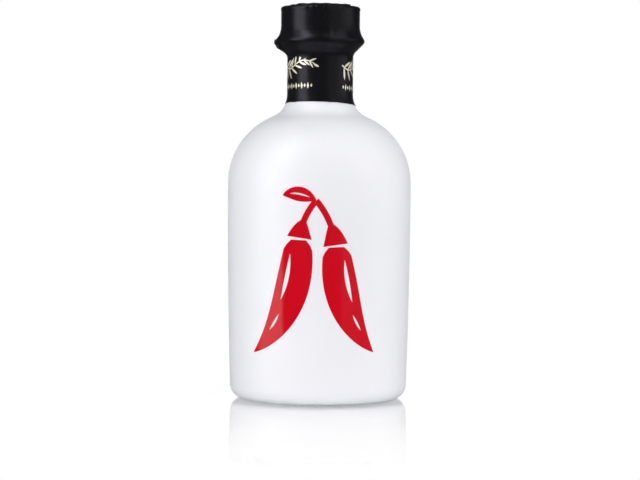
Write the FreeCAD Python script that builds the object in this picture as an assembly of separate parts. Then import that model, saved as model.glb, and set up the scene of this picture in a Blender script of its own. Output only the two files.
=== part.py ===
import FreeCAD, Part
import math
import os

# A 250 ml apothecary bottle of white-lacquered glass, shut with a bar-top stopper.
# A black shrink capsule, a disc and a sleeve, seals the stopper to the neck.
# Millimetres, +Z up, the axis on Z, the bearing ring on z = 0, the front towards -Y.

# Bottle body
body_d = 67.2            # widest diameter, at the foot of the shoulder
widest_z = 79.0          # height of that widest circle
side_lean = 1.15         # how far the side leans in from there to the heel
heel_r = 5.2             # rounding between side and base
shoulder_r = 26.4        # arc of the shoulder

# Base
bearing_w = 5.2          # width of the flat ring the bottle stands on
pushup_h = 1.6           # height of the hollow inside that ring

# Neck
neck_d = 23.7            # diameter of the straight neck
neck_len = 13.4          # straight length of the neck
neck_root_r = 9.0        # fillet between shoulder and neck
lip_step = 1.83          # how far the lip stands out beyond the stopper's head
lip_edge_r = 1.15        # rounding of the lip, which is twice this thick
lip_under_r = 3.25       # fillet between neck and the flank under the lip
lip_flank_deg = 45.0     # slope of that flank above the horizontal

# Stopper, of which only the head stands out of the bottle
head_d = 28.44
head_h = 11.05
head_edge_r = 0.8        # rounding that the sleeve's fold follows

# Capsule
film_t = 0.25            # thickness of the shrunk film
disc_t = 0.25            # thickness of the top disc
fold_w = 3.4             # how far the sleeve folds in over the disc, from the head's side
curl_r = 0.3             # bend at the fold's free edge
curl_h = 0.85            # height of the free edge above the fold
bridge_r = 8.25          # free arc of film between head and lip
skirt_drop = 3.75        # how far the sleeve runs below the straight neck
skirt_slant_deg = 4.5    # slant of its cut edge, highest at the front
skirt_turn_deg = -16.0   # that highest point's turn about Z from the front

# Worked out from the sizes above
body_r = body_d / 2
neck_r = neck_d / 2
head_r = head_d / 2
lip_r = head_r + lip_step

ORIGIN = FreeCAD.Vector(0, 0, 0)
UP = FreeCAD.Vector(0, 0, 1)


class Outline:
    """A path in the XZ plane, drawn with lines and arcs from a first point."""

    def __init__(self, x, z):
        self.at = FreeCAD.Vector(x, 0, z)
        self.edges = []

    def line(self, x, z):
        """Draws straight on to (x, z)."""
        end = FreeCAD.Vector(x, 0, z)
        self.edges.append(Part.LineSegment(self.at, end).toShape())
        self.at = end
        return self

    def arc(self, centre, x, z):
        """Draws round a centre to (x, z), the short way."""
        middle = FreeCAD.Vector(centre[0], 0, centre[1])
        end = FreeCAD.Vector(x, 0, z)
        towards = (self.at - middle) + (end - middle)
        halfway = middle + towards.normalize() * (self.at - middle).Length
        self.edges.append(Part.Arc(self.at, halfway, end).toShape())
        self.at = end
        return self

    def end_on(self, centre, radius, degrees):
        """Draws an arc of that radius round a centre, ending at an angle above +X."""
        turn = math.radians(degrees)
        return self.arc(centre, centre[0] + radius * math.cos(turn), centre[1] + radius * math.sin(turn))


def turned(edges):
    """The solid that a closed outline sweeps about the axis."""
    section = Part.Face(Part.Wire(Part.__sortEdges__(edges)))
    return section.revolve(ORIGIN, UP, 360)


def bearing(point, centre):
    """The angle above +X, in degrees, at which a point is seen from a centre."""
    return math.degrees(math.atan2(point[1] - centre[1], point[0] - centre[0]))


# Centres of the arcs that bottle and sleeve share

# The shoulder ends upright at the widest circle and touches the neck's root fillet.
shoulder_c = (body_r - shoulder_r, widest_z)
root_reach = neck_r + neck_root_r - shoulder_c[0]
root_c = (neck_r + neck_root_r, widest_z + math.sqrt((shoulder_r + neck_root_r) ** 2 - root_reach**2))
shoulder_deg = bearing(root_c, shoulder_c)

# The fillet under the lip ends on a flank that touches the lip's rounding.
neck_top_z = root_c[1] + neck_len
under_c = (neck_r + lip_under_r, neck_top_z)
flank_deg = -(90 - lip_flank_deg)
flank = math.radians(flank_deg)
lip_cx = lip_r - lip_edge_r
flank_span = lip_cx - under_c[0] + (lip_edge_r + lip_under_r) * math.cos(flank)
lip_c = (
    lip_cx,
    neck_top_z - (lip_edge_r + lip_under_r) * math.sin(flank) + flank_span * math.tan(math.radians(lip_flank_deg)),
)

# The stopper's head sits on the lip, the disc on the head, the fold on the disc.
lip_top_z = lip_c[1] + lip_edge_r
head_top_z = lip_top_z + head_h
disc_top_z = head_top_z + disc_t
fold_c = (head_r - head_edge_r, disc_top_z - head_edge_r)

# The film leaves the head upright, and swings out to touch the lip's rounding.
bridge_cx = head_r + bridge_r
bridge_c = (bridge_cx, lip_c[1] + math.sqrt((bridge_r + lip_edge_r) ** 2 - (bridge_cx - lip_c[0]) ** 2))
bridge_deg = bearing(bridge_c, lip_c)


def bottle():
    """The glass, which is one solid with what it holds, closed at the lip."""
    bearing_out = body_r - side_lean - heel_r
    bearing_in = bearing_out - bearing_w
    dome_r = (bearing_in**2 + pushup_h**2) / (2 * pushup_h)
    side_r = ((widest_z - heel_r) ** 2 + side_lean**2) / (2 * side_lean)
    heel_c = (bearing_out, heel_r)
    side_c = (body_r - side_r, widest_z)
    glass = Outline(0, pushup_h)
    glass.arc((0, pushup_h - dome_r), bearing_in, 0)
    glass.line(bearing_out, 0)
    glass.arc(heel_c, body_r - side_lean, heel_r)
    glass.arc(side_c, body_r, widest_z)
    glass.end_on(shoulder_c, shoulder_r, shoulder_deg)
    glass.arc(root_c, neck_r, root_c[1])
    glass.line(neck_r, neck_top_z)
    glass.end_on(under_c, lip_under_r, 180 + flank_deg)
    tip = FreeCAD.Vector(math.cos(flank), 0, math.sin(flank)) * lip_edge_r
    glass.line(lip_c[0] + tip.x, lip_c[1] + tip.z)
    glass.arc(lip_c, lip_r, lip_c[1])
    glass.arc(lip_c, lip_c[0], lip_top_z)
    glass.line(0, lip_top_z)
    glass.line(0, pushup_h)
    return turned(glass.edges)


def stopper():
    """The head of the bar-top stopper: a disc with rounded edges on the lip."""
    head = Outline(0, lip_top_z)
    head.line(head_r, lip_top_z)
    head.line(head_r, head_top_z - head_edge_r)
    head.arc((fold_c[0], head_top_z - head_edge_r), fold_c[0], head_top_z)
    head.line(0, head_top_z)
    head.line(0, lip_top_z)
    return turned(head.edges)


def capsule_disc():
    """The film disc that lies on the stopper under the sleeve's fold."""
    disc = Part.makeCylinder(head_r - head_edge_r, disc_t)
    disc.translate(FreeCAD.Vector(0, 0, head_top_z))
    return disc


def sleeve_face(gap, last_deg):
    """One face of the sleeve, at a gap outside what it grips, from its free edge down to last_deg on the root."""
    curl_c = (head_r - fold_w + film_t + curl_r, disc_top_z + film_t + curl_r)
    bend = curl_r + film_t - gap
    face = Outline(curl_c[0] - bend, disc_top_z + film_t + curl_h)
    face.line(curl_c[0] - bend, curl_c[1])
    face.arc(curl_c, curl_c[0], disc_top_z + gap)
    face.line(fold_c[0], disc_top_z + gap)
    face.arc(fold_c, head_r + gap, fold_c[1])
    face.line(head_r + gap, bridge_c[1])
    face.end_on(bridge_c, bridge_r - gap, 180 + bridge_deg)
    face.end_on(lip_c, lip_edge_r + gap, 0)
    face.end_on(lip_c, lip_edge_r + gap, flank_deg)
    turn = math.radians(180 + flank_deg)
    under = lip_under_r - gap
    face.line(under_c[0] + under * math.cos(turn), under_c[1] + under * math.sin(turn))
    face.arc(under_c, neck_r + gap, neck_top_z)
    face.line(neck_r + gap, root_c[1])
    face.end_on(root_c, neck_root_r - gap, last_deg)
    return face


def below_skirt():
    """What lies under the slanted plane in which the sleeve was cut off."""
    reach = 4 * neck_r
    block = Part.makeBox(2 * reach, 2 * reach, reach)
    block.translate(FreeCAD.Vector(-reach, -reach, -reach))
    block.rotate(ORIGIN, FreeCAD.Vector(1, 0, 0), -skirt_slant_deg)
    block.rotate(ORIGIN, UP, skirt_turn_deg)
    block.translate(FreeCAD.Vector(0, 0, root_c[1] - skirt_drop))
    return block


def capsule_sleeve():
    """The shrunk sleeve: fold, head, bridge, lip, neck and flared skirt."""
    slant = (neck_r + neck_root_r) * math.tan(math.radians(skirt_slant_deg))
    last = math.degrees(math.asin(min(0.9, (skirt_drop + slant) / neck_root_r)))
    outer = sleeve_face(film_t, 180 + last)
    inner = sleeve_face(0, 180 + last)
    free_edge = Part.LineSegment(inner.edges[0].Vertexes[0].Point, outer.edges[0].Vertexes[0].Point).toShape()
    cut_edge = Part.LineSegment(inner.at, outer.at).toShape()
    sleeve = turned(outer.edges + inner.edges + [free_edge, cut_edge])
    return sleeve.cut(below_skirt())


os.makedirs("parts", exist_ok=True)
for piece in (bottle, stopper, capsule_disc, capsule_sleeve):
    solid = piece()
    box = solid.BoundBox
    print(f"{piece.__name__}: {len(solid.Solids)} solid, valid {solid.isValid()}, {solid.Volume / 1000:.2f} ml")
    print(f"  r {box.XMax:.2f} z {box.ZMin:.2f} to {box.ZMax:.2f}")
    solid.exportStep(f"parts/{piece.__name__}.step")
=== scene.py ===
# %% [markdown]
# # A bottle of chili olive oil
# This lesson dresses one shut bottle of chili oil: white-lacquered glass with a red print of
# chillies, a bar-top stopper under a black shrink capsule, and gold foil on the capsule's neck.
# The measured solids come first and stay as they are. Every piece below is drawn over them in
# metres, in the same place, so nothing has to be fitted by eye.

# %% Load the measured solids
import math
import random

import bmesh
import bpy
from mathutils import Euler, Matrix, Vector


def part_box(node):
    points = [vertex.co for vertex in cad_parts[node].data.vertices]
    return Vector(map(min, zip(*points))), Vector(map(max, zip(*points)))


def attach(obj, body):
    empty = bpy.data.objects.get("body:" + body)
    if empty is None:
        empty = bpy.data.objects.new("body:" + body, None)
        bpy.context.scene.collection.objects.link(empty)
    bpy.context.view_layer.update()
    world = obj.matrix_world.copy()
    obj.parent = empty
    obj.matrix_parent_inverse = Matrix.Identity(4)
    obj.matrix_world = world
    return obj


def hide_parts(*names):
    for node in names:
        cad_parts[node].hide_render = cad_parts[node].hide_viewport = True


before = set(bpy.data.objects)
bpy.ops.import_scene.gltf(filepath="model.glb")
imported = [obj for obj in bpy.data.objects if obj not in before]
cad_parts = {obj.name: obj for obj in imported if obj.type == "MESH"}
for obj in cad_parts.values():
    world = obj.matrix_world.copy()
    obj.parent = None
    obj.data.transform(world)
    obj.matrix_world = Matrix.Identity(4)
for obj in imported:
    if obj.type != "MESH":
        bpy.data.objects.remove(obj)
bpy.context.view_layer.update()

# %% [markdown]
# ## The sizes that shape the outline
# What the solids can tell is read from them: the widest radius, the lip, the stopper's head and
# the levels they sit at. The rest are the bottle maker's own numbers, which a drawing of the mould
# would give: how the side leans, and the radii of the heel, the shoulder, the neck's root and the
# lip.

# %% Sizes from the solids and the mould
MM = 0.001

body_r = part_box("bottle")[1].x
lip_top_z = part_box("bottle")[1].z
head_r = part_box("stopper")[1].x
head_top_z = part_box("stopper")[1].z
disc_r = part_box("capsule_disc")[1].x
disc_top_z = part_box("capsule_disc")[1].z
film_t = disc_top_z - head_top_z

widest_z = 79.0 * MM
side_lean = 1.15 * MM
heel_r = 5.2 * MM
shoulder_r = 26.4 * MM
bearing_w = 5.2 * MM
pushup_h = 1.6 * MM
neck_r = 11.85 * MM
neck_len = 13.4 * MM
neck_root_r = 9.0 * MM
lip_r = head_r + 1.83 * MM
lip_edge_r = 1.15 * MM
lip_under_r = 3.25 * MM
lip_flank = 45.0

bearing_out = body_r - side_lean - heel_r
bearing_in = bearing_out - bearing_w
shoulder_c = (body_r - shoulder_r, widest_z)
root_x = neck_r + neck_root_r
root_reach = root_x - shoulder_c[0]
root_c = (root_x, widest_z + math.sqrt((shoulder_r + neck_root_r) ** 2 - root_reach**2))
shoulder_deg = math.degrees(math.atan2(root_c[1] - shoulder_c[1], root_reach))
neck_top_z = root_c[1] + neck_len
lip_c = (lip_r - lip_edge_r, lip_top_z - lip_edge_r)
under_c = (neck_r + lip_under_r, neck_top_z)
levels = {"neck root": root_c[1], "neck top": neck_top_z, "lip centre": lip_c[1]}
print("levels in mm", {name: round(z / MM, 2) for name, z in levels.items()})

# %% [markdown]
# ## A pen for outlines
# Glass and film are both turned shapes, so both are drawn as half a section and then spun. In edit
# mode one point is enough to start with: extruding it draws a straight run, and spinning it about
# a centre draws an arc. A last spin about the bottle's own axis makes the surface. That is how a
# lathe or a mould is described on paper, and it keeps every radius exact.

# %% The pen
def deselect_all():
    if bpy.context.mode != "OBJECT":
        bpy.ops.object.mode_set(mode="OBJECT")
    bpy.ops.object.select_all(action="DESELECT")


def pick(piece):
    """Makes one piece the only one that is selected, and the active one."""
    deselect_all()
    piece.select_set(True)
    bpy.context.view_layer.objects.active = piece


def settle(piece):
    """Puts the object at the origin, with its place kept in its mesh."""
    pick(piece)
    bpy.ops.object.transform_apply(location=True, rotation=True, scale=True)


def face_outwards():
    """Turns every face of the mesh in edit mode outwards."""
    bpy.ops.mesh.select_all(action="SELECT")
    bpy.ops.mesh.normals_make_consistent(inside=False)


class Pen:
    """Draws a section in the XZ plane, point by point, in edit mode."""

    def __init__(self, name, x, z):
        deselect_all()
        bpy.ops.mesh.primitive_plane_add(size=MM, location=(x, 0, z))
        self.piece = bpy.context.active_object
        self.piece.name = self.piece.data.name = name
        settle(self.piece)
        bpy.ops.object.mode_set(mode="EDIT")
        bpy.ops.mesh.select_mode(type="VERT")
        bpy.ops.mesh.select_all(action="SELECT")
        bpy.ops.mesh.merge(type="CENTER")
        self.x, self.z = x, z

    def line(self, x, z, parts=1):
        """Goes straight to a point, in as many parts as asked for."""
        step = ((x - self.x) / parts, 0, (z - self.z) / parts)
        for _ in range(parts):
            bpy.ops.mesh.extrude_region_move(TRANSFORM_OT_translate={"value": step})
        self.x, self.z = x, z

    def arc(self, centre, degrees, step=5.0):
        """Turns about a centre, anticlockwise when degrees is positive."""
        steps = max(2, math.ceil(abs(degrees) / step))
        turn = math.radians(degrees)
        hub = (centre[0], 0, centre[1])
        bpy.ops.mesh.spin(steps=steps, angle=turn, center=hub, axis=(0, 1, 0))
        dx, dz = self.x - centre[0], self.z - centre[1]
        self.x = centre[0] + dx * math.cos(turn) - dz * math.sin(turn)
        self.z = centre[1] + dx * math.sin(turn) + dz * math.cos(turn)

    def spin_whole(self, segments):
        """Sweeps the section about the bottle's axis and closes the seam and the poles."""
        full_turn = math.radians(360)
        bpy.ops.mesh.select_all(action="SELECT")
        bpy.ops.mesh.spin(steps=segments, angle=full_turn, center=(0, 0, 0), axis=(0, 0, 1))
        bpy.ops.mesh.select_all(action="SELECT")
        bpy.ops.mesh.remove_doubles(threshold=MM / 1000)
        face_outwards()
        return self.piece


# %% [markdown]
# ## The glass
# The real bottle is blown in a mould, then sprayed with white lacquer outside. Its side leans in a
# little towards the heel, which is what makes the shoulder look generous, and it swells by hardly
# more than a millimetre. The section runs from the middle of the pushed-up base out over the ring
# it stands on, up the side, over the shoulder, up the neck and round the lip.

# %% Spin the glass
glass_segments = 192
knurl_h = 0.22 * MM
heel_c = (bearing_out, heel_r)
heel_start = math.degrees(math.acos(1 - knurl_h / heel_r))
knurl_edge_r = bearing_out + heel_r * math.sin(math.radians(heel_start))
dome_r = (bearing_in**2 + pushup_h**2) / (2 * pushup_h)
dome_deg = math.degrees(math.asin((bearing_in - knurl_h) / dome_r))
side_r = ((widest_z - heel_r) ** 2 + side_lean**2) / (2 * side_lean)
side_deg = math.degrees(math.asin((widest_z - heel_r) / side_r))
flank = math.radians(-lip_flank)

pen = Pen("lacquered_glass", 0, pushup_h)
pen.arc((0, pushup_h - dome_r), -dome_deg, step=0.6)
pen.line(bearing_in, knurl_h)
pen.line(knurl_edge_r, knurl_h, parts=5)
pen.arc(heel_c, 90 - heel_start, step=6)
pen.arc((body_r - side_r, widest_z), side_deg, step=0.08)
pen.arc(shoulder_c, shoulder_deg, step=3)
pen.arc(root_c, -shoulder_deg, step=6)
pen.line(neck_r, neck_top_z, parts=4)
pen.arc(under_c, -lip_flank, step=9)
flank_end = (lip_c[0] + lip_edge_r * math.cos(flank), lip_c[1] + lip_edge_r * math.sin(flank))
pen.line(*flank_end, parts=2)
pen.arc(lip_c, 90 + lip_flank, step=15)
pen.line(0, lip_top_z, parts=3)
glass = pen.spin_whole(glass_segments)

# %% [markdown]
# The ring a glass bottle stands on is never smooth: the mould presses short ribs into it, so that
# the hot glass touches the belt in few places. They are the broken dark line under the bottle.
# Here every second patch of the ring is selected by its level and its angle, and extruded down to
# the table.

# %% Press the ribs of the bearing ring
def at_angle(point):
    """The angle of a point about the axis, in degrees, with the front at 0 and +X at 90."""
    return math.degrees(math.atan2(point.x, -point.y))


def radius(point):
    """The distance of a point from the axis."""
    return math.hypot(point.x, point.y)


def choose(piece, kind, test):
    """Selects the vertices or faces for which the test is true, and says how many."""
    bpy.ops.mesh.select_mode(type="FACE" if kind == "faces" else "VERT")
    bpy.ops.mesh.select_all(action="DESELECT")
    mesh = bmesh.from_edit_mesh(piece.data)
    count = 0
    for item in getattr(mesh, kind):
        if test(item.calc_center_median() if kind == "faces" else item.co):
            item.select = True
            count += 1
    mesh.select_flush_mode()
    bmesh.update_edit_mesh(piece.data)
    return count


rib_in = bearing_in + 0.2 * bearing_w
rib_out = bearing_out + 0.1 * heel_r
flat_enough = MM / 100


def on_rib(point):
    """Whether a patch lies on the ring and in an even-numbered segment of it."""
    level = abs(point.z - knurl_h) < flat_enough
    segment = math.floor(at_angle(point) * glass_segments / 360)
    return level and rib_in < radius(point) < rib_out and segment % 2 == 0


print("rib patches", choose(glass, "faces", on_rib))
bpy.ops.mesh.extrude_region_move(TRANSFORM_OT_translate={"value": (0, 0, -knurl_h)})
bpy.ops.object.mode_set(mode="OBJECT")


def finish_mesh(piece, node=None, sharp=35.0):
    """Smooths a piece up to an angle, hangs it on the bottle, hides the solid it stands in for, if
    one is given, and prints its size.
    """
    settle(piece)
    bpy.ops.object.shade_smooth_by_angle(angle=math.radians(sharp))
    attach(piece, "root")
    if node:
        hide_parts(node)
    size = [round(d / MM, 2) for d in piece.dimensions]
    print(f"{piece.name}: {len(piece.data.polygons)} faces, {size} mm")
    return piece


finish_mesh(glass, node="bottle")

# %% [markdown]
# ## The shrink sleeve
# The capsule is a tube of thin black film that hot air has shrunk on. Over the stopper's head it
# folds in and leaves a raised free edge round a loose disc. Between head and lip it can't follow
# the step, so it spans it in a free curve, and it ends in a cut edge that the shrinking has pulled
# aslant. Only the outer face is drawn. It gets its wall later, once its creases are in. The free
# edge is drawn a tenth of a millimetre low, because some of its waves rise.

# %% Spin the sleeve
sleeve_segments = 240
head_edge_r = head_r - disc_r
fold_w = 3.4 * MM
curl_r = 0.3 * MM
wave_room = 0.1 * MM
curl_top_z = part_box("capsule_sleeve")[1].z - wave_room
bridge_r = 8.25 * MM
skirt_deg = 36

fold_c = (head_r - head_edge_r, disc_top_z - head_edge_r)
curl_c = (head_r - fold_w + film_t + curl_r, disc_top_z + film_t + curl_r)
bridge_x = head_r + bridge_r
bridge_reach = bridge_x - lip_c[0]
bridge_c = (bridge_x, lip_c[1] + math.sqrt((bridge_r + lip_edge_r) ** 2 - bridge_reach**2))
bridge_deg = math.degrees(math.atan2(bridge_c[1] - lip_c[1], bridge_reach))
film_r = neck_r + film_t
film_under_r = lip_under_r - film_t
film_under = (
    under_c[0] - film_under_r * math.cos(flank),
    under_c[1] - film_under_r * math.sin(flank),
)

pen = Pen("shrink_sleeve", curl_c[0] - curl_r, curl_top_z)
pen.line(curl_c[0] - curl_r, curl_c[1], parts=3)
pen.arc(curl_c, 90, step=30)
pen.line(fold_c[0], disc_top_z + film_t, parts=5)
pen.arc(fold_c, -90, step=15)
pen.line(head_r + film_t, bridge_c[1], parts=9)
pen.arc(bridge_c, bridge_deg, step=6)
pen.arc(lip_c, -bridge_deg - lip_flank, step=15)
pen.line(*film_under, parts=5)
pen.arc(under_c, lip_flank, step=9)
pen.line(film_r, root_c[1], parts=16)
pen.arc(root_c, skirt_deg, step=4)
sleeve = pen.spin_whole(sleeve_segments)

# %% Cut the skirt aslant
skirt_drop = 3.75 * MM
skirt_slant = math.radians(4.5)
skirt_turn = math.radians(-16.0)
skirt_normal = Vector((0, math.sin(skirt_slant), math.cos(skirt_slant)))
skirt_normal.rotate(Euler((0, 0, skirt_turn)))
skirt_point = Vector((0, 0, root_c[1] - skirt_drop))
bpy.ops.mesh.select_all(action="SELECT")
bpy.ops.mesh.bisect(plane_co=skirt_point, plane_no=skirt_normal, clear_inner=True)
print("skirt cut at", [round(c, 3) for c in skirt_normal])

# %% [markdown]
# ## Creases in the film
# Shrinking never comes out even. The fold is drawn in by more than its width, so it gathers in
# small radial pleats. Each pleat is a narrow column of points that is moved out and slightly down,
# and the whole fold is then smoothed a little. The random numbers are seeded, so each run makes
# the same pleats.

# %% Pleat the fold
chance = random.Random(7)


def column(low_z, high_z, angle, half_width):
    """A test for points between two levels and within so many degrees of a direction."""
    def test(point):
        off = (at_angle(point) - angle + 180) % 360 - 180
        return low_z < point.z < high_z and abs(off) < half_width
    return test


def push(outwards, up=0.0):
    """Moves the selected points away from the axis, by a share of their radius, and up."""
    grow = 1 + outwards
    bpy.ops.transform.resize(value=(grow, grow, 1), center_override=(0, 0, head_top_z))
    bpy.ops.transform.translate(value=(0, 0, up))


def on_fold(point):
    """Whether a point lies on the folded part of the film, clear of its free edge."""
    return point.z > disc_top_z - 1.3 * MM and radius(point) > head_r - fold_w + MM


pleats = 72
pleat_half = 1.6
pleat_low, pleat_high = disc_top_z - 0.9 * MM, disc_top_z + 0.45 * MM
pleat_angles = [i * 360 / pleats + chance.uniform(-1.2, 1.2) for i in range(pleats)]
for angle in pleat_angles:
    deep = chance.uniform(0.3, 1.0)
    choose(sleeve, "verts", column(pleat_low, pleat_high, angle, pleat_half))
    push(0.018 * deep, -0.1 * MM * deep)
print("points on the fold", choose(sleeve, "verts", on_fold), "pleats", pleats)
bpy.ops.mesh.vertices_smooth(factor=0.3, repeat=1)

# %% [markdown]
# The free edge of the fold waves up and down and leans in and out. It is moved in fifteen places
# with proportional editing, which takes the points around along and lets the move die away.

# %% Wave the free edge
waves = 15
wave_reach = 2.4 * MM


def pull(move, reach):
    """Moves the selected points, and the points within reach of them less and less."""
    bpy.ops.transform.translate(
        value=move, use_proportional_edit=True,
        proportional_edit_falloff="SMOOTH", proportional_size=reach,
    )


wave_angles = [i * 360 / waves + chance.uniform(-8, 8) for i in range(waves)]
for angle in wave_angles:
    choose(sleeve, "verts", column(curl_top_z - 0.1 * MM, math.inf, angle, 1.0))
    slope = -0.22 + 0.16 * math.sin(math.radians(angle))
    lift = (slope + chance.uniform(-0.14, 0.1)) * MM
    lean = chance.uniform(-0.35, 0.25) * MM
    aside = math.radians(angle)
    pull((lean * math.sin(aside), -lean * math.cos(aside), lift), wave_reach)
print("waves at", [round(angle) for angle in wave_angles])

# %% [markdown]
# The free span over the lip keeps a few soft dents. On the left the film has bagged out under the
# lip and wrinkled, and front right it is tucked in there, most in the middle of the tuck. All of
# these are the same push or pull on a patch of points.

# %% Dent the span and bag the film under the lip
def patch(z, half_height, angle, half_width):
    """A column about a level."""
    return column(z - half_height, z + half_height, angle, half_width)


dents = 26
span_low, span_high = lip_c[1] + 0.6 * MM, bridge_c[1] - 0.3 * MM
for _ in range(dents):
    angle, half_width = chance.uniform(-180, 180), chance.uniform(2, 5)
    choose(sleeve, "verts", column(span_low, span_high, angle, half_width))
    push(chance.uniform(-0.008, 0.002))
choose(sleeve, "verts", lambda point: lip_c[1] - MM < point.z < bridge_c[1] + MM)
bpy.ops.mesh.vertices_smooth(factor=0.5, repeat=4)

wrinkles = 12
bag_side = -90
bag_z = lip_c[1] - 2.4 * MM
bag_depth = 1.25 * MM
bag_reach = 4.2 * MM
choose(sleeve, "verts", patch(bag_z, 0.5 * MM, bag_side, 13))
pull((-bag_depth, 0, 0), bag_reach)
for _ in range(wrinkles):
    angle, z = chance.uniform(-125, -68), lip_c[1] + chance.uniform(-4.2, 3.6) * MM
    choose(sleeve, "verts", patch(z, 0.5 * MM, angle, chance.uniform(1, 4)))
    push(chance.uniform(0.01, 0.022))

tuck_z = lip_c[1] - 2.6 * MM
tuck_from, tuck_step, tuck_steps = 8, 2.4, 16
for i in range(tuck_steps):
    choose(sleeve, "verts", patch(tuck_z, 0.35 * MM, tuck_from + i * tuck_step, 1.9))
    push(-0.012 * math.sin(math.pi * (i + 0.5) / tuck_steps))
print(f"bag {bag_depth / MM} mm deep at {bag_z / MM:.1f} mm, tuck at {tuck_z / MM:.1f} mm")

# %% [markdown]
# The tube itself is made from a flat strip, glued where its ends lap. That seam shows as a narrow
# band that stands out by one more film. It runs down the back, from the fold to the cut edge.

# %% Lap the seam and give the film its wall
seam_angle = 152.0
seam_half = 7.0
wall_t = 0.8 * film_t
on_seam = column(0, disc_top_z + 0.3 * MM, seam_angle, seam_half)
print("points on the seam", choose(sleeve, "verts", on_seam))
push(0.006)
face_outwards()
bpy.ops.object.mode_set(mode="OBJECT")


def apply_modifier(piece, kind, **settings):
    """Adds a modifier with its settings and applies it."""
    pick(piece)
    modifier = piece.modifiers.new(kind, kind)
    for key, value in settings.items():
        setattr(modifier, key, value)
    bpy.ops.object.modifier_apply(modifier=modifier.name)


apply_modifier(sleeve, "SOLIDIFY", thickness=wall_t, offset=-1.0)
finish_mesh(sleeve, node="capsule_sleeve", sharp=50.0)

# %% [markdown]
# ## The disc inside the fold
# Under the sleeve's fold lies a loose disc of the same film. It has sunk a little over the
# stopper's head and cockled with the heat. It is spun as a thin closed section, then randomised
# and smoothed.

# %% Spin the disc
dish = 0.12 * MM
disc_slack = 0.02 * MM
disc_edge = disc_r - 0.1 * MM
rim_in = disc_r - 2.6 * MM
disc_low, disc_high = head_top_z + disc_slack, disc_top_z - disc_slack


def inside_rim(point):
    """Whether a point lies on the disc's upper face, inside its rim."""
    return point.z > head_top_z + 0.05 * MM and radius(point) < disc_r - 3 * MM


pen = Pen("top_disc", 0, disc_low)
pen.line(disc_edge, disc_low, parts=8)
pen.line(disc_edge, disc_high)
pen.line(rim_in, disc_high, parts=3)
pen.line(0, disc_top_z - dish, parts=12)
disc = pen.spin_whole(96)
choose(disc, "verts", inside_rim)
bpy.ops.transform.vertex_random(offset=0.09 * MM, uniform=0.0, normal=1.0, seed=5)
bpy.ops.mesh.vertices_smooth(factor=0.5, repeat=6)
bpy.ops.object.mode_set(mode="OBJECT")
finish_mesh(disc, node="capsule_disc")

# %% [markdown]
# ## The print: a pair of chillies
# The bottle's picture is one colour of gloss ink, screen-printed on the lacquer: two plain red
# chillies on a joined stem, with their highlights left open so that the white shows through. Ink
# has a thickness, about a twentieth of a millimetre. So the picture is first grown flat, as a
# prism, and then only the part of it that lies in a thin shell over the glass is kept. Each chilli
# starts as one edge, which is extruded, turned and widened again and again along a curved line.

# %% Grow a flat shape along a line
def curved_line(x, z, heading, length, turn, steps=26, late=1.2):
    """Places along a line that bends more towards its end: x, z and heading in degrees."""
    places = [(x, z, heading)]
    for i in range(steps):
        heading += turn / steps * (1 - late / 2 + late * (i + 0.5) / steps)
        x += length / steps * math.cos(math.radians(heading))
        z += length / steps * math.sin(math.radians(heading))
        places.append((x, z, heading))
    return places


def flat_shape(name, places, width_at, aside=0.0):
    """A flat upright strip along a line, as wide as width_at says and shifted aside from it."""
    def across(place, share):
        """The middle of the strip at a place, and half its width as a vector."""
        tilt = math.radians(place[2] + 90)
        half = width_at(share) / 2
        middle = Vector((place[0] + aside * math.cos(tilt), 0, place[1] + aside * math.sin(tilt)))
        return middle, Vector((math.cos(tilt), 0, math.sin(tilt))) * half

    middle, half = across(places[0], 0.0)
    pen = Pen(name, middle.x - half.x, middle.z - half.z)
    pen.line(middle.x + half.x, middle.z + half.z)
    bpy.ops.mesh.select_all(action="SELECT")
    for i, place in enumerate(places[1:], start=1):
        at, wide = across(place, i / (len(places) - 1))
        bpy.ops.mesh.extrude_region_move(TRANSFORM_OT_translate={"value": at - middle})
        turn = math.atan2(wide.z, wide.x) - math.atan2(half.z, half.x)
        bpy.ops.transform.rotate(value=turn, orient_axis="Y", center_override=at)
        grow = wide.length / half.length
        bpy.ops.transform.resize(value=(grow, 1, grow), center_override=at)
        middle, half = at, wide
    bpy.ops.object.mode_set(mode="OBJECT")
    return pen.piece


# %% Say how wide each shape is along its line
pod_w = 12.0 * MM
tip_w = 0.1 * MM


def pod_width(share):
    """Rounded shoulders, widest at a third, then a long taper to the tip."""
    shoulders = min(1, 0.6 + 7 * share)
    taper = math.sin(math.pi * (0.25 + 0.75 * share)) ** 0.85
    return max(pod_w * shoulders * taper, tip_w)


def stalk_width(share):
    """A thin stalk that flares into the cap on top of the pod."""
    return (2.2 + 6.6 * max(0, (share - 0.6) / 0.4) ** 0.7) * MM


def crescent(wide):
    """A shape that is widest in the middle and thin at both ends."""
    return lambda share: max(wide * math.sin(math.pi * share) ** 0.8, 0.08 * MM)


# %% Draw the two chillies
joint = (-1.0 * MM, 73.5 * MM)
cap_overlap = 0.9 * MM
pods = (
    {"side": -1, "top": (-7.2, 59.5), "length": 45, "turn": 46},
    {"side": 1, "top": (6.3, 57.0), "length": 41, "turn": 42},
)
inks = []
openings = []
for pod in pods:
    side, top = pod["side"], (pod["top"][0] * MM, pod["top"][1] * MM)
    line = curved_line(*top, -90 + side * 2, pod["length"] * MM, side * pod["turn"])
    inks.append(flat_shape("pod", line, pod_width))
    outside = side * 0.22 * pod_w
    openings.append(flat_shape("long_shine", line[3:14], crescent(1.5 * MM), outside))
    openings.append(flat_shape("short_shine", line[16:21], crescent(0.8 * MM), outside * 0.5))
    down = Vector((top[0] - joint[0], top[1] + cap_overlap - joint[1]))
    aim = math.degrees(math.atan2(down.y, down.x))
    bow = side * 34
    stalk = curved_line(*joint, aim + bow / 2, down.length * 1.015, -bow, steps=12, late=0)
    inks.append(flat_shape("stalk", stalk, stalk_width))
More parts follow.
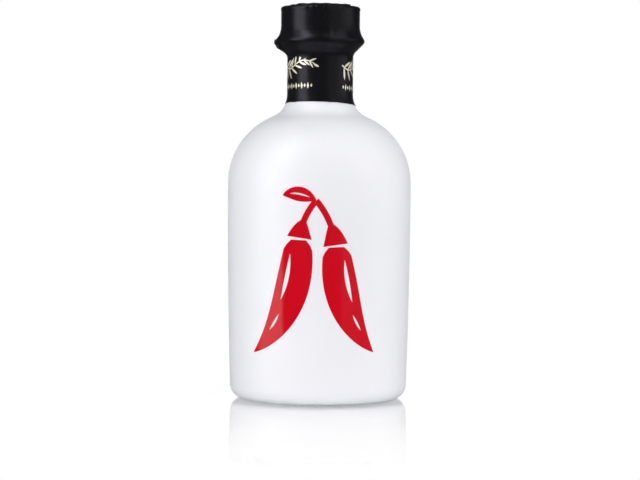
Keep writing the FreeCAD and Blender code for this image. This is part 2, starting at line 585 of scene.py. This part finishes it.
leaf_line = curved_line(*joint, 150, 12.5 * MM, 50, steps=14)
inks.append(flat_shape("leaf", leaf_line, crescent(5.2 * MM)))
openings.append(flat_shape("rib", leaf_line[3:12], crescent(0.6 * MM)))
print("inked shapes", len(inks), "openings", len(openings))

# %% [markdown]
# The prisms reach from in front of the glass to well inside it. The ink shell is the side of the
# glass once more, a hair outside it: the same section, spun right round. The prisms end inside the
# bottle, so they only meet its front. A Boolean takes the highlights out of the prisms, and a
# second one keeps what the shell and the prisms share.

# %% Give the flat shapes a depth
front_y = -body_r


def prism(piece, low_y, high_y):
    """Gives a flat shape a depth from low_y to high_y."""
    pick(piece)
    bpy.ops.object.mode_set(mode="EDIT")
    bpy.ops.mesh.select_all(action="SELECT")
    bpy.ops.transform.translate(value=(0, low_y, 0))
    bpy.ops.mesh.extrude_region_move(TRANSFORM_OT_translate={"value": (0, high_y - low_y, 0)})
    face_outwards()
    bpy.ops.object.mode_set(mode="OBJECT")
    return piece


def join(pieces, name):
    """Makes one object of several."""
    deselect_all()
    for piece in pieces:
        piece.select_set(True)
    bpy.context.view_layer.objects.active = pieces[0]
    if len(pieces) > 1:
        bpy.ops.object.join()
    pieces[0].name = pieces[0].data.name = name
    return pieces[0]


def combine(piece, operation, tool):
    """Applies a Boolean with another object, which is then deleted."""
    exact = {"solver": "EXACT", "use_self": True}
    apply_modifier(piece, "BOOLEAN", operation=operation, object=tool, **exact)
    pick(tool)
    bpy.ops.object.delete()


ink = join([prism(shape, front_y - 3 * MM, front_y / 3) for shape in inks], "red_print")
holes = join([prism(shape, front_y - 5 * MM, front_y / 4) for shape in openings], "holes")
combine(ink, "DIFFERENCE", holes)
print("faces of the prisms, highlights taken out", len(ink.data.polygons))

# %% Keep the ink that lies on the glass
ink_t = 0.05 * MM
ink_gap = 0.002 * MM
shell_foot = (bearing_out + heel_r + ink_gap, heel_r)
shell_c = (body_r - side_r + ink_gap, widest_z)

pen = Pen("ink_shell", *shell_foot)
pen.arc(shell_c, side_deg, step=0.08)
pen.line(pen.x + ink_t, pen.z)
pen.arc((shell_c[0] + ink_t, widest_z), -side_deg, step=0.08)
pen.line(*shell_foot)
shell = pen.spin_whole(288)
bpy.ops.object.mode_set(mode="OBJECT")
combine(ink, "INTERSECT", shell)
finish_mesh(ink)
print("ink box", [[round(c / MM, 2) for c in ink.bound_box[k]] for k in (0, 6)])

# %% [markdown]
# ## The foil on the capsule's neck
# Pale gold foil is stamped on the film before it shrinks: the same ornament three times round the
# neck. Here it is a leafy sprig over a row of lozenges. It is drawn flat, along the film as it was
# unrolled, and a Simple Deform modifier bends each copy round the neck. The hot film has slipped a
# little as it shrank, so the whole band is tilted with the cut edge. Shrinkwrap then lays it on
# the film and Solidify gives it its thickness.

# %% Draw a leaf and the line of the stem
sprig_w = 16.0 * MM
sprig_z = 121.5 * MM
stem_wave = 1.36 * MM
row_z = 113.7 * MM
upright = (math.pi / 2, 0, 0)
round_part = 0.86


def add_flat(spot, half, corners):
    """A small upright shape with so many corners, added to the mesh in edit mode."""
    bpy.ops.mesh.primitive_circle_add(
        vertices=corners, radius=half, fill_type="TRIFAN", location=spot, rotation=upright
    )


def add_leaf(x, z, length, width, heading):
    """A pointed leaf that grows from (x, z), added to the mesh in edit mode.

    A disc is squeezed to the round part of the leaf, and its two outermost points are then pulled
    out to where the leaf begins and ends.
    """
    turn = math.radians(heading)
    half = length / 2
    middle = (x + half * math.cos(turn), 0, z + half * math.sin(turn))
    add_flat(middle, half, 16)
    bpy.ops.transform.resize(value=(round_part, 1, width / length), center_override=middle)
    mesh = bmesh.from_edit_mesh(bpy.context.active_object.data)
    for vertex in mesh.verts:
        off = vertex.co.x - middle[0]
        if vertex.select and abs(vertex.co.z - middle[2]) < length / 1000 and abs(off) > half / 2:
            vertex.co.x = middle[0] + math.copysign(half, off)
    bmesh.update_edit_mesh(bpy.context.active_object.data)
    bpy.ops.transform.rotate(value=turn, orient_axis="Y", center_override=middle)
    bpy.ops.mesh.subdivide(number_cuts=1)


def stem_bow(x):
    """Height of the sprig's stem, which bows like a wave."""
    return sprig_z + stem_wave * math.sin(x / sprig_w * 2 * math.pi)


# %% Draw one sprig and its row of lozenges flat
leaf_size = (4.7 * MM, 0.9 * MM)
tip_leaf_size = (2.4 * MM, 0.8 * MM)
lozenges = 11
lozenge_step = 1.36 * MM
lozenge_r = 0.62 * MM


def stem_places(steps=30):
    """Places along the stem: x, z and heading in degrees."""
    places = []
    for i in range(steps + 1):
        x = -sprig_w / 2 + sprig_w * i / steps
        slope = math.atan2(stem_bow(x + MM / 10) - stem_bow(x), MM / 10)
        places.append((x, stem_bow(x), math.degrees(slope)))
    return places


def flat_sprig(name):
    """A stem with pairs of leaves and one at its tip, over a row of tall and low lozenges."""
    places = stem_places()
    sprig = flat_shape(name, places, lambda share: (0.5 - 0.2 * share) * MM)
    bpy.ops.object.mode_set(mode="EDIT")
    for i, (x, z, heading) in enumerate(places[2:-3:4]):
        swing = 56 - 3 * i
        grow = 1 - 0.06 * i
        for side in (-1, 1):
            add_leaf(x, z, leaf_size[0] * grow, leaf_size[1] * grow, heading + side * swing)
    tip_x = sprig_w / 2 - 0.5 * MM
    add_leaf(tip_x, places[-1][1], *tip_leaf_size, places[-1][2])
    for i in range(lozenges):
        spot = ((i - lozenges // 2) * lozenge_step, 0, row_z)
        add_flat(spot, lozenge_r, 4)
        tall = 2.0 if i % 2 else 1.1
        bpy.ops.transform.resize(value=(0.7, 1, tall), center_override=spot)
        bpy.ops.mesh.subdivide(number_cuts=2)
    bpy.ops.object.mode_set(mode="OBJECT")
    return sprig


# %% Bend three sprigs round the neck
foil_t = 0.04 * MM
foil_r = film_r + 0.7 * MM
sprig_turns = (-33.0, 87.0, 207.0)
sprigs = []
for turn in sprig_turns:
    sprig = flat_sprig("foil_sprigs")
    left = min(vertex.co.x for vertex in sprig.data.vertices)
    right = max(vertex.co.x for vertex in sprig.data.vertices)
    bend = (right - left) / foil_r
    apply_modifier(sprig, "SIMPLE_DEFORM", deform_method="BEND", deform_axis="Z", angle=bend)
    place = math.radians(turn) + (left + right) / 2 / foil_r
    sprig.location = (foil_r * math.sin(place), -foil_r * math.cos(place), 0)
    sprig.rotation_euler = (0, 0, place)
    settle(sprig)
    sprigs.append(sprig)
foil = join(sprigs, "foil_sprigs")
print("sprigs round the neck", len(sprigs))

# %% Tilt the foil as the skirt's cut is tilted and lay it on the film
foil.location = (0, 0, row_z)
for vertex in foil.data.vertices:
    vertex.co.z -= row_z
tilt = Euler((-skirt_slant, 0, 0))
tilt.rotate(Euler((0, 0, skirt_turn)))
foil.rotation_euler = tilt
settle(foil)
apply_modifier(foil, "SHRINKWRAP", target=sleeve, wrap_method="NEAREST_SURFACEPOINT",
               wrap_mode="ABOVE_SURFACE", offset=foil_t)
apply_modifier(foil, "SOLIDIFY", thickness=foil_t, offset=0.0)
finish_mesh(foil)

# %% [markdown]
# ## Finishes
# Six finishes cover the bottle. The lacquer is a satin white that scatters a lamp's reflection,
# while the ink over it is glossy and mirrors the lamp's edge. The film is black and satin, with a
# faint violet cast in its shine, and shows fine streaks along the way it was drawn. Foil is metal.
# Every pattern reads Object coordinates, so it stays on the piece, and a value that is the same
# all over is set on the shader itself.

# %% Helpers for nodes
def add_node(tree, kind, inputs=None, **settings):
    """A shader node with its settings. An input is linked if it is given a socket, else set."""
    node = tree.nodes.new("ShaderNode" + kind)
    for key, value in settings.items():
        setattr(node, key, value)
    feed(tree, node, inputs or {})
    return node


def feed(tree, node, inputs):
    """Links each input of a node to the socket given for it, or sets it to the value given."""
    for key, value in inputs.items():
        if isinstance(value, bpy.types.NodeSocket):
            tree.links.new(value, node.inputs[key])
        else:
            node.inputs[key].default_value = value


# %% A helper for finishes
def finish(name, colours, grain, roughness, bump, stretch=(1, 1, 1), metallic=0.0, shine=0.5,
           tint=(1, 1, 1)):
    """A Principled finish: noise mixes two colours and two roughnesses and lifts a fine bump.

    grain is how fine the clouds and the bump are, bump its strength and height, stretch draws the
    pattern out, and shine and tint are the strength and colour of the mirrored light.
    """
    material = bpy.data.materials.new(name)
    material.use_nodes = True
    tree = material.node_tree
    place = add_node(tree, "TexCoord").outputs["Object"]
    mapping = add_node(tree, "Mapping", {"Vector": place, "Scale": stretch}).outputs["Vector"]
    cloud = add_node(tree, "TexNoise", {"Vector": mapping, "Scale": grain[0], "Detail": 3.0})
    fine = add_node(tree, "TexNoise", {"Vector": mapping, "Scale": grain[1]})
    blend = add_node(tree, "Mix", {
        "Factor": cloud.outputs["Fac"], "A": (*colours[0], 1), "B": (*colours[1], 1),
    }, data_type="RGBA")
    gloss = add_node(tree, "MapRange", {
        "Value": cloud.outputs["Fac"], "To Min": roughness[0], "To Max": roughness[1],
    })
    relief = add_node(tree, "Bump", {
        "Height": fine.outputs["Fac"], "Strength": bump[0], "Distance": bump[1],
    })
    feed(tree, tree.nodes["Principled BSDF"], {
        "Metallic": metallic, "Specular IOR Level": shine, "Specular Tint": (*tint, 1),
        "Base Color": blend.outputs["Result"], "Roughness": gloss.outputs["Result"],
        "Normal": relief.outputs["Normal"],
    })
    return material


def coat(piece, material):
    """Gives every face of a piece one finish."""
    piece.data.materials.clear()
    piece.data.materials.append(material)
    for face in piece.data.polygons:
        face.material_index = 0


# %% Mix the finishes
film_colours = ((0.0045, 0.0045, 0.0055), (0.006, 0.006, 0.007))
film_shine = {"shine": 0.16, "tint": (0.88, 0.85, 1.0)}

lacquer = finish(
    "satin_white_lacquer", ((0.832, 0.836, 0.88), (0.858, 0.862, 0.906)), grain=(60, 700),
    roughness=(0.4, 0.48), bump=(0.08, 0.05 * MM),
)
red_ink = finish(
    "gloss_red_ink", ((0.56, 0.0003, 0.008), (0.6, 0.0006, 0.011)), grain=(90, 900),
    roughness=(0.08, 0.12), bump=(0.03, 0.03 * MM), shine=0.3,
)
black_film = finish(
    "black_shrink_film", film_colours, grain=(420, 2600), roughness=(0.26, 0.34),
    bump=(0.2, 0.03 * MM), stretch=(1, 1, 0.12), **film_shine,
)
disc_film = finish(
    "black_disc_film", film_colours, grain=(300, 1500), roughness=(0.3, 0.4),
    bump=(0.25, 0.05 * MM), **film_shine,
)
gold_foil = finish(
    "pale_gold_foil", ((0.8, 0.75, 0.6), (0.88, 0.84, 0.7)), grain=(700, 4000),
    roughness=(0.36, 0.46), bump=(0.15, 0.02 * MM), metallic=0.4,
)
stopper_plastic = finish(
    "matte_stopper_plastic", ((0.02, 0.02, 0.021), (0.03, 0.03, 0.031)), grain=(200, 2000),
    roughness=(0.5, 0.65), bump=(0.3, 0.06 * MM),
)
print("finishes", sorted(material.name for material in bpy.data.materials))

# %% Coat the pieces
for piece, material in (
    (glass, lacquer), (ink, red_ink), (sleeve, black_film), (disc, disc_film), (foil, gold_foil),
):
    coat(piece, material)
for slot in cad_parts["stopper"].material_slots:
    slot.material = stopper_plastic
print("stopper's slots", len(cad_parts["stopper"].material_slots))

# %% [markdown]
# ## The table
# The bottle stands on a polished white sheet. A clear skin lies just above the sheet, and only
# camera rays pass it. Its two faces count as transparent steps, by which the room tells a view by
# way of the sheet from a view by way of the bottle.

# %% Lay the sheet and its clear skin
table_r = 3.0
skin_t = 0.01 * MM
skin_z = 0.02 * MM


def empty_tree(owner):
    """Switches a material or the world to nodes and clears them."""
    owner.use_nodes = True
    owner.node_tree.nodes.clear()
    return owner.node_tree


deselect_all()
bpy.ops.mesh.primitive_circle_add(vertices=64, radius=table_r, fill_type="NGON", location=(0, 0, 0))
table = bpy.context.active_object
table.name = table.data.name = "table"

skin_size = (2 * table_r, 2 * table_r, skin_t)
bpy.ops.mesh.primitive_cube_add(size=1, location=(0, 0, skin_z), scale=skin_size)
skin = bpy.context.active_object
skin.name = skin.data.name = "table_skin"
skin.visible_diffuse = skin.visible_glossy = skin.visible_transmission = False
skin.visible_shadow = False

clear = bpy.data.materials.new("clear_skin")
tree = empty_tree(clear)
passing = add_node(tree, "BsdfTransparent").outputs["BSDF"]
add_node(tree, "OutputMaterial", {"Surface": passing})
skin.data.materials.append(clear)
print("sheet", table_r, "m in radius, skin", skin_t / MM, "mm thick")

# %% [markdown]
# The sheet mirrors the bottle softly at its foot, most clearly a little way out, and the mirror
# image then fades with distance. For the camera the rest of the sheet is plain white, with part of
# its light still coming from the lamps so that the bottle keeps its shadow. That share ends a
# little way out, where the sheet has to match the white room behind it.

# %% Paint what the camera sees of the sheet
near_r = 60 * MM
far_r = 200 * MM
mirror_stops = (
    (0.0, 0.5), (0.14, 0.5), (0.17, 0.85), (0.21, 0.56),
    (0.36, 0.48), (0.56, 0.22), (0.75, 0.08), (0.95, 0.0),
)


def grey(level):
    return (level, level, level, 1)


def maths(tree, operation, first, second):
    """The result of a Math node on two values, each a socket or a number."""
    return add_node(tree, "Math", {0: first, 1: second}, operation=operation).outputs["Value"]


def mix(tree, share, first, second):
    """Mixes two shaders: the share is the second one's."""
    return add_node(tree, "MixShader", {"Fac": share, 1: first, 2: second}).outputs["Shader"]


def diffuse(tree, level):
    return add_node(tree, "BsdfDiffuse", {"Color": grey(level)}).outputs["BSDF"]


def emission(tree, strength):
    return add_node(tree, "Emission", {"Strength": strength}).outputs["Emission"]


sheet = bpy.data.materials.new("polished_white_sheet")
tree = empty_tree(sheet)
place = add_node(tree, "TexCoord").outputs["Object"]
reach = add_node(tree, "VectorMath", {0: place}, operation="LENGTH").outputs["Value"]
fade = add_node(tree, "ValToRGB", {"Fac": maths(tree, "DIVIDE", reach, far_r)})
ramp = fade.color_ramp
ramp.interpolation = "EASE"
ramp.elements[0].position, ramp.elements[1].position = mirror_stops[0][0], mirror_stops[-1][0]
for position, _ in mirror_stops[1:-1]:
    ramp.elements.new(position)
for stop, (_, share) in zip(ramp.elements, mirror_stops):
    stop.color = grey(share)

lit_part = add_node(tree, "AddShader", {0: emission(tree, 0.95), 1: diffuse(tree, 0.06)})
away = add_node(tree, "MapRange", {"Value": reach, "From Min": near_r, "From Max": far_r})
plain = mix(tree, away.outputs["Result"], lit_part.outputs["Shader"], emission(tree, 1.0))
polish = add_node(tree, "BsdfGlossy", {"Color": grey(1), "Roughness": 0.04}).outputs["BSDF"]
shown = mix(tree, fade.outputs["Color"], plain, polish)
print("mirror image fades out at", round(mirror_stops[-1][0] * far_r / MM), "mm")

# %% [markdown]
# A reflection in the bottle shows dim paint under a thin polish, which keeps the lower half of the
# ink dark. For every other ray the sheet is white paint that throws light back up at the heel.

# %% Paint what the bottle sees of the sheet
ray = add_node(tree, "LightPath")
fresnel = add_node(tree, "Fresnel").outputs["Fac"]
mirrored_sheet = mix(tree, fresnel, diffuse(tree, 0.15), polish)
thrown = mix(tree, ray.outputs["Is Glossy Ray"], diffuse(tree, 0.95), mirrored_sheet)
whole = mix(tree, ray.outputs["Is Camera Ray"], thrown, shown)
add_node(tree, "OutputMaterial", {"Surface": whole})
table.data.materials.append(sheet)
print("nodes in the sheet's finish", len(tree.nodes))

# %% [markdown]
# ## The studio
# Behind the bottle everything is white. In front of it the room is dim, which keeps the black film
# black. The world tells front from back by the Y of a ray's direction. Whatever is seen by way of
# the table's sheet has white behind it too: such a ray is glossy, has been mirrored only once, and
# has passed the clear skin. The world counts a ray's steps from one, so once mirrored it reads
# two, and the skin's two faces read two transparent steps. Each threshold lies halfway between two
# counts.

# %% Paint the room
dim_level = 0.05
dim_until, white_from = 0.92, 0.985
mirrored_once = 2.5
past_skin = 1.5

studio = bpy.data.worlds.new("studio")
bpy.context.scene.world = studio
tree = empty_tree(studio)
direction = add_node(tree, "TexCoord").outputs["Generated"]
heading = add_node(tree, "SeparateXYZ", {"Vector": direction}).outputs["Y"]
level = add_node(tree, "MapRange", {
    "Value": heading, "From Min": dim_until, "From Max": white_from,
    "To Min": dim_level, "To Max": 1.0,
}).outputs["Result"]
room = add_node(tree, "Background", {"Color": grey(1), "Strength": level})
white = add_node(tree, "Background", {"Color": grey(1), "Strength": 1.0})

ray = add_node(tree, "LightPath")
direct = maths(tree, "LESS_THAN", ray.outputs["Ray Depth"], mirrored_once)
by_skin = maths(tree, "GREATER_THAN", ray.outputs["Transparent Depth"], past_skin)
once = maths(tree, "MULTIPLY", direct, by_skin)
by_sheet = maths(tree, "MULTIPLY", once, ray.outputs["Is Glossy Ray"])
seen_white = maths(tree, "MAXIMUM", ray.outputs["Is Camera Ray"], by_sheet)
whole = mix(tree, seen_white, room.outputs["Background"], white.outputs["Background"])
add_node(tree, "OutputWorld", {"Surface": whole})
print("room from", dim_level, "in front to 1 behind")

# %% [markdown]
# A softbox stands on the left, well round towards the side, and a wide, weaker panel on the right
# shows its straight edge in the glossy ink. A second softbox, high on the left, makes the bright
# patch over the lip. The gleams are lamps that only a polished surface shows. The fills and the
# overhead lamp are the other way round, and no surface mirrors them: they even out the shoulder,
# the heel, the sides and the back. Two of them are as narrow as a spotlight. One brightens the
# sheet just before the heel, and the other the root of the neck.

# %% Light the bottle
bottle_middle = (0, 0, 90 * MM)
before_heel = (0, -110 * MM, 0)
neck_foot = (0, 0, 108 * MM)


def softbox(name, azimuth, height, distance, size, power, lights=True, mirrored=True,
            target=bottle_middle, spread=180):
    """An area lamp round the bottle: azimuth 0 is the camera's side, positive is to the right."""
    data = bpy.data.lights.new(name, "AREA")
    data.shape = "RECTANGLE"
    data.size, data.size_y = size
    data.energy = power
    data.spread = math.radians(spread)
    lamp = bpy.data.objects.new(name, data)
    bpy.context.collection.objects.link(lamp)
    turn = math.radians(azimuth)
    lamp.location = (distance * math.sin(turn), -distance * math.cos(turn), height)
    aim = Vector(target) - lamp.location
    lamp.rotation_euler = aim.to_track_quat("-Z", "Y").to_euler()
    lamp.visible_camera = False
    lamp.visible_diffuse = lights
    lamp.visible_glossy = mirrored
    return lamp


gleam = {"lights": False}
fill = {"mirrored": False}
softbox("left_softbox", -64, 0.25, 0.9, (0.6, 0.6), 2.65)
softbox("right_panel", 67, 0.2, 0.8, (1.3, 0.7), 1.6)
softbox("left_gleam", -60, 0.26, 0.95, (0.55, 0.65), 1.9, **gleam)
softbox("upper_left", -70, 0.8, 0.6, (0.45, 0.65), 1.5)
softbox("upper_left_gleam", -53, 0.8, 0.65, (0.22, 0.6), 2.9, **gleam)
softbox("upper_right_gleam", 62, 0.9, 0.7, (0.7, 0.9), 0.9, **gleam)
softbox("overhead", 70, 1.0, 0.35, (1.1, 1.1), 6.2, **fill)
softbox("front_fill", 0, 0.07, 1.0, (1.4, 0.14), 3.1, **fill)
softbox("right_fill", 84, 0.1, 0.8, (0.6, 0.2), 1.2, **fill)
softbox("left_fill", -76, 0.1, 0.8, (0.6, 0.2), 0.5, **fill)
softbox("table_wash", 0, 0.5, 0.5, (0.3, 0.08), 0.035, target=before_heel, spread=12, **fill)
softbox("neck_fill", 0, 0.5, 0.8, (0.3, 0.05), 0.008, target=neck_foot, spread=6, **fill)
softbox("back_fill", 180, 0.3, 0.9, (0.5, 0.6), 1.6, **fill)
watts = sum(lamp.energy for lamp in bpy.data.lights)
print("lamps", len(bpy.data.lights), "watts", round(watts, 2))

# %% [markdown]
# ## The camera
# A long lens looks a little down on the bottle from a step away, level with its shoulder. The
# camera leans by half a degree, which is why the bottle seems to lean the other way.

# %% Set up the camera
look_down = 2.451
roll = 0.43

camera_data = bpy.data.cameras.new("camera")
camera_data.sensor_width = 36.0
camera_data.lens = 123.75
camera = bpy.data.objects.new("camera", camera_data)
bpy.context.collection.objects.link(camera)
camera.location = (0.40 * MM, -809.6 * MM, 92.8 * MM)
pitch = Euler((math.radians(90 - look_down), 0, 0)).to_matrix()
lean = Euler((0, 0, math.radians(roll))).to_matrix()
camera.rotation_euler = (pitch @ lean).to_euler()
bpy.context.scene.camera = camera
bpy.context.scene.view_settings.view_transform = "Standard"
print("camera at", [round(c, 4) for c in camera.location], "m")
